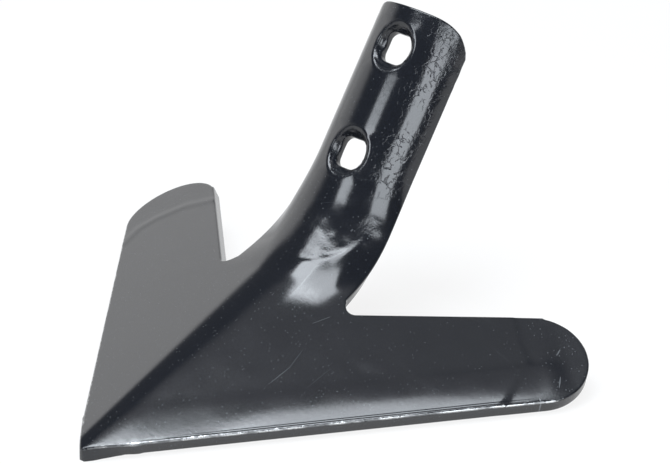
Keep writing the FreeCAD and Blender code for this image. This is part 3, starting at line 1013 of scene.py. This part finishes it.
@dataclass(frozen=True)
class PaintSkin:
    """Surface of sprayed paint: orange peel, fine grain, and wrinkled skin where it is thick.

    Peel, grain and scuffed hold a pattern's scale and its height.
    """

    peel: tuple[float, float] = (0.42, 0.11)
    grain: tuple[float, float] = (2.6, 0.045)
    scuffed: tuple[float, float] = (1.15, 0.95)
    wrinkle: float = 0.36
    wander: float = 4.2
    puff: float = 0.14
    groove: float = 0.9

    def make(self) -> bpy.types.ShaderNodeTree:
        """Build the group.

        Returns:
            The group, which puts out a height and a mask of the wrinkles' lines.
        """
        maker = GroupMaker("paint_skin", {"Place": "Vector", "Crackle": "Float", "Scuff": "Float"},
                           {"Height": "Float", "Lines": "Float"})
        wire, source = maker.wiring, maker.source
        place, crackle, scuff = source["Place"], source["Crackle"], source["Scuff"]
        peel = wire.times(wire.noise(place, self.peel[0], 2.0), self.peel[1])
        grain = wire.times(wire.noise(place, self.grain[0], 3.0), self.grain[1])
        wander = wire.add("ShaderNodeTexNoise")
        wire.feed(wander, {"Vector": place, "Scale": 0.35, "Detail": 3.0})
        bent = wire.add("ShaderNodeVectorMath", operation="MULTIPLY_ADD")
        wire.feed(bent, {0: wander.outputs["Color"], 1: (self.wander, self.wander, 0.0), 2: place})
        flat = wire.stretch(bent.outputs[0], 0.25, (1.0, 0.72, 0.0))
        cells = wire.add("ShaderNodeTexVoronoi", feature="DISTANCE_TO_EDGE")
        wire.feed(cells, {"Vector": flat, "Scale": self.wrinkle})
        line = wire.span(cells.outputs["Distance"], 0.012, 0.085, 1.0, 0.0)
        broken = wire.span(wire.noise(place, 0.22, 1.0), 0.42, 0.56, 0.0, 1.0)
        lines = wire.times(wire.times(line, broken), crackle)
        puff = wire.times(wire.span(cells.outputs["Distance"], 0.0, 0.4, 0.0, self.puff), crackle)
        rough = wire.times(wire.noise(place, self.scuffed[0], 4.0), wire.times(scuff, self.scuffed[1]))
        total = wire.plus(wire.plus(peel, grain), wire.plus(puff, rough))
        total = wire.minus(total, wire.times(lines, self.groove))
        wire.join(total, maker.sink["Height"])
        wire.join(lines, maker.sink["Lines"])
        return maker.tree


@dataclass(frozen=True)
class FineScratches:
    """Hair-thin scratches and dust specks all over the paint."""

    layers: tuple[tuple[float, float, float], ...] = ((0.6, 3.0, 0.60), (-0.9, 11.0, 0.62), (2.1, 23.0, 0.61))
    speck_scale: float = 0.62
    speck_size: float = 0.12
    speck_growth: float = 0.07
    speck_gaps: float = 0.52

    def make(self) -> bpy.types.ShaderNodeTree:
        """Build the group.

        Returns:
            The group, which puts out a mask of the scratches and one of the specks.
        """
        maker = GroupMaker("fine_scratches", {"Place": "Vector", "Scuff": "Float"},
                           {"Scratches": "Float", "Specks": "Float"})
        wire, source = maker.wiring, maker.source
        place = source["Place"]
        found = None
        for turn, seed, fill in self.layers:
            swirl = wire.add("ShaderNodeTexNoise")
            wire.feed(swirl, {"Vector": place, "Scale": 0.02, "Detail": 1.0})
            moved = wire.add("ShaderNodeVectorMath", operation="MULTIPLY_ADD")
            wire.feed(moved, {0: swirl.outputs["Color"], 1: (26.0, 26.0, 0.0), 2: place})
            lines = wire.noise(wire.stretch(moved.outputs[0], turn, (0.045, 1.9, 0.0), (seed, seed, 0.0)), 1.0, 1.0)
            sparse = wire.span(wire.noise(wire.stretch(place, 0.0, (1.0, 1.0, 1.0), (seed, 0.0, 0.0)), 0.045, 1.0),
                               0.46, 0.64, 0.0, 1.0)
            hair = wire.times(wire.span(lines, fill + 0.05, fill + 0.12, 0.0, 1.0), sparse)
            found = hair if found is None else wire.most(found, hair)
        dots = wire.add("ShaderNodeTexVoronoi", feature="F1")
        wire.feed(dots, {"Vector": place, "Scale": self.speck_scale})
        level = wire.plus(self.speck_size, wire.times(source["Scuff"], self.speck_growth))
        tint = wire.add("ShaderNodeSeparateColor")
        wire.join(dots.outputs["Color"], tint.inputs[0])
        chosen = wire.math("GREATER_THAN", tint.outputs[0], self.speck_gaps)
        speck = wire.times(wire.math("LESS_THAN", dots.outputs["Distance"], level), chosen)
        wire.join(found, maker.sink["Scratches"])
        wire.join(speck, maker.sink["Specks"])
        return maker.tree


@dataclass(frozen=True)
class WornEdge:
    """Marks along the cutting edge: paint worn off its upper rim, and a fine pressed line inside it."""

    splay: float
    fold_gain: float
    line: float = 1.9

    def make(self) -> bpy.types.ShaderNodeTree:
        """Build the group.

        Returns:
            The group, which puts out a mask of the bare rim and one of the pressed line.
        """
        maker = GroupMaker("worn_edge", {"Place": "Vector"}, {"Bare": "Float", "Line": "Float"})
        wire, place = maker.wiring, maker.source["Place"]
        axes = wire.add("ShaderNodeSeparateXYZ")
        wire.join(place, axes.inputs[0])
        across = wire.plus(wire.math("ABSOLUTE", axes.outputs["X"]), self.fold_gain)
        forward = axes.outputs["Y"]
        inward = wire.minus(wire.times(forward, math.sin(self.splay)), wire.times(across, math.cos(self.splay)))
        along = wire.plus(wire.times(across, math.sin(self.splay)), wire.times(forward, math.cos(self.splay)))
        upper = wire.span(axes.outputs["Z"], -0.85, -0.45, 0.0, 1.0)
        near_nose = wire.span(along, 10.0, 95.0, 1.0, 0.0)
        reach = wire.plus(0.55, wire.times(near_nose, 0.55))
        ragged = wire.times(wire.minus(wire.noise(place, 0.7, 4.0), 0.5), 2.2)
        edge = wire.plus(wire.math("ABSOLUTE", wire.minus(inward, 0.25)), ragged)
        bare = wire.minus(1.0, wire.span(wire.math("DIVIDE", edge, reach), 0.55, 1.0, 0.0, 1.0))
        gaps = wire.span(wire.noise(place, 0.11, 3.0), 0.40, 0.56, 0.25, 1.0)
        bare = wire.times(wire.times(bare, gaps), upper)
        ahead = wire.span(along, 212.0, 222.0, 1.0, 0.0)
        line = wire.math("ABSOLUTE", wire.minus(inward, self.line))
        line = wire.times(wire.span(line, 0.2, 0.7, 1.0, 0.0), wire.span(along, 24.0, 60.0, 0.0, 1.0))
        line = wire.times(line, wire.span(along, 165.0, 200.0, 1.0, 0.0))
        line = wire.times(line, wire.math("GREATER_THAN", axes.outputs["X"], 0.0))
        wire.join(wire.times(bare, ahead), maker.sink["Bare"])
        wire.join(wire.times(line, upper), maker.sink["Line"])
        return maker.tree


@dataclass(frozen=True)
class DeepScratch:
    """One scratch, as a thin straight mark between two places of the blank."""

    start: tuple[float, float]
    end: tuple[float, float]
    width: float = 0.32
    strength: float = 1.0


class StrokeGroup:
    """Shader group that marks the neighbourhood of one straight line."""

    def make(self) -> bpy.types.ShaderNodeTree:
        """Build the group.

        Returns:
            The group, which puts out a mask of the line.
        """
        maker = GroupMaker("straight_stroke", {"Place": "Vector", "Start": "Vector", "End": "Vector",
                                               "Width": "Float"}, {"Mask": "Float"})
        wire, source = maker.wiring, maker.source

        def vector(operation: str, first: object, second: object, output: int = 0) -> bpy.types.NodeSocket:
            """Work out one sum of vectors and give its socket."""
            node = wire.add("ShaderNodeVectorMath", operation=operation)
            return wire.feed(node, {0: first, 1: second}).outputs[output]

        flat = vector("MULTIPLY", source["Place"], (1.0, 1.0, 0.0))
        gap = vector("SUBTRACT", flat, source["Start"])
        span = vector("SUBTRACT", source["End"], source["Start"])
        share = wire.math("DIVIDE", vector("DOT_PRODUCT", gap, span, 1), vector("DOT_PRODUCT", span, span, 1), True)
        scale = wire.add("ShaderNodeVectorMath", operation="SCALE")
        wire.feed(scale, {0: span, "Scale": share})
        apart = vector("DISTANCE", gap, scale.outputs[0], 1)
        taper = wire.times(source["Width"], wire.math("SINE", wire.plus(wire.times(share, 2.6), 0.27)))
        near = wire.math("SUBTRACT", 1.0, wire.math("DIVIDE", apart, taper), True)
        wire.join(near, maker.sink["Mask"])
        return maker.tree


@dataclass(frozen=True)
class PaintFinish:
    """Gloss black paint on the pressed plate, worn bright along the cutting edge."""

    sizes: PressSizes
    refraction: float = 1.6
    colour: tuple[float, float, float, float] = (0.0064, 0.0080, 0.0118, 1.0)
    dust: tuple[float, float, float, float] = (0.16, 0.17, 0.18, 1.0)
    steel: tuple[float, float, float, float] = (0.42, 0.42, 0.42, 1.0)
    roughness: float = 0.13
    scratch_share: float = 0.07
    speck_share: float = 0.45
    bump_distance: float = 0.00012
    scratch_depth: float = 0.3
    speck_height: float = 0.35
    line_depth: float = 1.1
    scratches: tuple[DeepScratch, ...] = (
        DeepScratch((37.0, 81.5), (37.8, 93.5), 0.24, 0.45),
        DeepScratch((37.8, 93.0), (36.0, 104.0), 0.2, 0.25),
        DeepScratch((50.0, 89.5), (51.0, 104.5), 0.18, 0.15),
        DeepScratch((30.0, 118.0), (33.5, 126.0), 0.22, 0.4),
        DeepScratch((126.0, 168.0), (129.0, 163.0), 0.45, 0.8),
        DeepScratch((118.0, 176.0), (117.0, 180.0), 0.45, 0.8),
        DeepScratch((126.0, 153.0), (130.0, 150.0), 0.45, 0.8),
    )

    def make(self) -> bpy.types.Material:
        """Build the material.

        Returns:
            The material.
        """
        material = bpy.data.materials.new("gloss_black_paint")
        material.use_nodes = True
        wire = Wiring(material.node_tree)
        shader = material.node_tree.nodes["Principled BSDF"]
        shader.inputs["IOR"].default_value = self.refraction
        place = wire.add("ShaderNodeAttribute", attribute_name="blank").outputs["Vector"]
        crackle = wire.add("ShaderNodeAttribute", attribute_name="crackle").outputs["Fac"]
        scuff = wire.add("ShaderNodeAttribute", attribute_name="scuff").outputs["Fac"]
        skin = wire.add("ShaderNodeGroup", node_tree=PaintSkin().make())
        wire.feed(skin, {"Place": place, "Crackle": crackle, "Scuff": scuff})
        fine = wire.add("ShaderNodeGroup", node_tree=FineScratches().make())
        wire.feed(fine, {"Place": place, "Scuff": scuff})
        deep = self.lay_scratches(wire, place)
        edge = wire.add("ShaderNodeGroup", node_tree=WornEdge(self.sizes.splay, self.sizes.fold_gain).make())
        wire.feed(edge, {"Place": place})
        bare = edge.outputs["Bare"]
        light = wire.most(wire.times(fine.outputs["Scratches"], self.scratch_share), deep)
        light = wire.most(light, wire.times(fine.outputs["Specks"], self.speck_share))
        painted = self.mix(wire, light, self.colour, self.dust)
        wire.join(self.mix(wire, bare, painted, self.steel), shader.inputs["Base Color"])
        wire.join(wire.times(bare, 0.85), shader.inputs["Metallic"])
        cloud = wire.span(wire.noise(place, 0.06, 3.0), 0.3, 0.7, self.roughness - 0.01, self.roughness + 0.02)
        cloud = wire.plus(cloud, wire.times(scuff, 0.10))
        wire.join(wire.plus(cloud, wire.times(bare, 0.14)), shader.inputs["Roughness"])
        height = wire.minus(skin.outputs["Height"], wire.times(deep, self.scratch_depth))
        height = wire.plus(height, wire.times(fine.outputs["Specks"], self.speck_height))
        height = wire.minus(height, wire.times(edge.outputs["Line"], self.line_depth))
        bump = wire.add("ShaderNodeBump")
        wire.feed(bump, {"Height": height, "Distance": self.bump_distance, "Strength": 1.0})
        wire.join(bump.outputs["Normal"], shader.inputs["Normal"])
        return material

    def lay_scratches(self, wire: Wiring, place: bpy.types.NodeSocket) -> bpy.types.NodeSocket:
        """Put all deep scratches into one mask.

        Args:
            wire: The material's wiring.
            place: The place on the blank.

        Returns:
            The mask's socket.
        """
        tree = StrokeGroup().make()
        total = None
        for scratch in self.scratches:
            node = wire.add("ShaderNodeGroup", node_tree=tree)
            wire.feed(node, {"Place": place, "Start": (*scratch.start, 0.0), "End": (*scratch.end, 0.0),
                             "Width": scratch.width})
            mark = wire.times(node.outputs["Mask"], scratch.strength)
            total = mark if total is None else wire.most(total, mark)
        return total

    @staticmethod
    def mix(wire: Wiring, share: bpy.types.NodeSocket, first: object, second: object) -> bpy.types.NodeSocket:
        """Mix two colours by a mask."""
        node = wire.add("ShaderNodeMix", data_type="RGBA")
        wire.feed(node, {"Factor": share, 6: first, 7: second})
        return node.outputs[2]


@dataclass(frozen=True)
class Softbox:
    """One area lamp that faces the share."""

    name: str
    toward: tuple[float, float, float]
    across: tuple[float, float, float]
    distance: float
    width: float
    height: float
    power: float

    def place(self, middle: Vector) -> bpy.types.Object:
        """Put the lamp in the scene.

        Args:
            middle: The point that it faces.

        Returns:
            The lamp.
        """
        data = bpy.data.lights.new(self.name, "AREA")
        data.shape = "RECTANGLE"
        data.size, data.size_y = self.width, self.height
        data.energy = self.power
        data.color = (0.88, 0.94, 1.0)
        lamp = bpy.data.objects.new(self.name, data)
        bpy.context.scene.collection.objects.link(lamp)
        away = Vector(self.toward).normalized()
        wide = Vector(self.across)
        wide = (wide - away * wide.dot(away)).normalized()
        turn = Matrix((wide, away.cross(wide), away)).transposed().to_4x4()
        lamp.matrix_world = Matrix.Translation(middle + away * self.distance) @ turn
        return lamp


class Backdrop(Enum):
    """How bright the world is: as it is seen, at the white sheet, at the ceiling and in the rest of the room."""

    SEEN = 1.0
    SHEET = 1.04
    CEILING = 0.37
    ROOM = 0.13


@dataclass(frozen=True)
class PhotoCamera:
    """Camera that looks as the photograph does."""

    azimuth: float = 40.40
    elevation: float = 27.45
    roll: float = 0.234
    distance: float = 1401.8
    right_shift: float = 106.9
    up_shift: float = 90.8
    focal_pixels: float = 3400.0
    frame_pixels: float = 670.0

    def place(self, sizes: PressSizes) -> bpy.types.Object:
        """Put the camera in the scene.

        Args:
            sizes: The share's sizes, for the place of its nose.

        Returns:
            The camera.
        """
        turn, lift = math.radians(self.azimuth), math.radians(self.elevation)
        back = Vector((math.sin(turn) * math.cos(lift), -math.cos(turn) * math.cos(lift), math.sin(lift)))
        right = Vector((math.cos(turn), math.sin(turn), 0.0))
        up = right.cross(-back)
        spin = math.radians(self.roll)
        side = right * math.cos(spin) + up * math.sin(spin)
        head = up * math.cos(spin) - right * math.sin(spin)
        nose = Vector((0.0, sizes.nose_y, sizes.nose_z))
        eye = nose + back * self.distance + right * self.right_shift + up * self.up_shift
        data = bpy.data.cameras.new("photo_camera")
        data.sensor_width = 36.0
        data.lens = self.focal_pixels / self.frame_pixels * data.sensor_width
        data.clip_end = 20.0
        camera = bpy.data.objects.new("photo_camera", data)
        bpy.context.scene.collection.objects.link(camera)
        rotation = Matrix((side, head, back)).transposed().to_4x4()
        camera.matrix_world = Matrix.Translation(eye * MM) @ rotation
        bpy.context.scene.camera = camera
        return camera


class Studio:
    """Floor, world, lamps and camera."""

    def build(self, sizes: PressSizes) -> None:
        """Set the studio up.

        Args:
            sizes: The share's sizes.
        """
        self.lay_floor()
        self.light_world()
        middle = Vector((0.0, 0.0, 0.06))
        for lamp in self.lamps():
            lamp.place(middle)
        PhotoCamera().place(sizes)
        bpy.context.scene.view_settings.view_transform = "Standard"

    def lamps(self) -> list[Softbox]:
        """Give the lamps."""
        return [
            Softbox("side_softbox", (0.91, -0.25, 0.31), (0.2, 0.38, -0.31), 1.3, 0.72, 0.62, 8.5),
            Softbox("front_softbox", (-0.107, -0.79, 0.60), (1.0, 0.0, 0.0), 1.3, 0.44, 0.42, 4.0),
            Softbox("top_softbox", (-0.19, -0.135, 0.98), (1.0, 0.10, 0.0), 1.3, 0.80, 0.63, 16.0),
            Softbox("wing_softbox", (0.215, 0.01, 0.97), (1.0, 0.16, 0.0), 1.3, 0.40, 0.44, 4.4),
        ]

    def lay_floor(self) -> None:
        """Lay a wide white floor, which keeps a soft shadow of the share."""
        mesh = bmesh.new()
        bmesh.ops.create_grid(mesh, x_segments=8, y_segments=8, size=9.0)
        data = bpy.data.meshes.new("floor")
        mesh.to_mesh(data)
        mesh.free()
        floor = bpy.data.objects.new("floor", data)
        bpy.context.scene.collection.objects.link(floor)
        material = bpy.data.materials.new("floor_white")
        material.use_nodes = True
        wire = Wiring(material.node_tree)
        shader = material.node_tree.nodes["Principled BSDF"]
        wire.feed(shader, {"Base Color": (0.9, 0.9, 0.9, 1.0), "Roughness": 0.9})
        glow = wire.add("ShaderNodeEmission")
        wire.feed(glow, {"Color": (1.0, 1.0, 1.0, 1.0), "Strength": 1.0})
        mix = wire.add("ShaderNodeMixShader")
        share = wire.times(self.looked_at(wire), 0.84)
        wire.feed(mix, {"Fac": share, 1: shader.outputs["BSDF"], 2: glow.outputs["Emission"]})
        output = material.node_tree.nodes["Material Output"]
        wire.join(mix.outputs["Shader"], output.inputs["Surface"])
        data.materials.append(material)

    @staticmethod
    def looked_at(wire: Wiring) -> bpy.types.NodeSocket:
        """Give 1 for a ray from the camera or from a mirroring face, else 0."""
        path = wire.add("ShaderNodeLightPath").outputs
        either = wire.most(path["Is Camera Ray"], path["Is Glossy Ray"])
        return wire.most(either, path["Is Transmission Ray"])

    def light_world(self) -> None:
        """Light the surroundings: a white sheet behind the share, and a dim room elsewhere."""
        world = bpy.data.worlds.new("studio")
        bpy.context.scene.world = world
        world.use_nodes = True
        world.node_tree.nodes.clear()
        wire = Wiring(world.node_tree)
        output = wire.add("ShaderNodeOutputWorld")
        way = wire.add("ShaderNodeTexCoord").outputs["Generated"]
        axes = wire.add("ShaderNodeSeparateXYZ")
        wire.join(way, axes.inputs[0])
        behind = wire.add("ShaderNodeVectorMath", operation="DOT_PRODUCT")
        wire.feed(behind, {0: way, 1: (-0.89, 0.45, 0.0)})
        low = wire.span(axes.outputs["Z"], 0.30, 0.46, 1.0, 0.0)
        sheet = wire.times(wire.span(behind.outputs["Value"], 0.1, 0.6, 0.0, 1.0), low)
        overhead = wire.times(wire.span(axes.outputs["Y"], 0.08, 0.24, 0.0, 1.0),
                              wire.span(axes.outputs["Z"], 0.80, 0.93, 0.0, 1.0))
        room = wire.plus(wire.times(sheet, Backdrop.SHEET.value), Backdrop.ROOM.value)
        room = wire.plus(room, wire.times(overhead, Backdrop.CEILING.value))
        lit = wire.add("ShaderNodeBackground")
        wire.join(room, lit.inputs["Strength"])
        seen = wire.add("ShaderNodeBackground")
        wire.feed(seen, {"Color": (1.0, 1.0, 1.0, 1.0), "Strength": Backdrop.SEEN.value})
        wire.feed(lit, {"Color": (1.0, 1.0, 1.0, 1.0)})
        mix = wire.add("ShaderNodeMixShader")
        path = wire.add("ShaderNodeLightPath")
        wire.feed(mix, {"Fac": path.outputs["Is Camera Ray"], 1: lit.outputs["Background"],
                        2: seen.outputs["Background"]})
        wire.join(mix.outputs["Shader"], output.inputs["Surface"])


def main() -> None:
    """Build the share and its studio."""
    logging.basicConfig(level=logging.INFO, format="%(name)s: %(message)s")
    sizes = PressSizes()
    share = Share(sizes).build()
    share.data.materials.append(PaintFinish(sizes).make())
    log.info("piece %s: %d points", share.name, len(share.data.vertices))
    Studio().build(sizes)


if __name__ == "__main__":
    main()
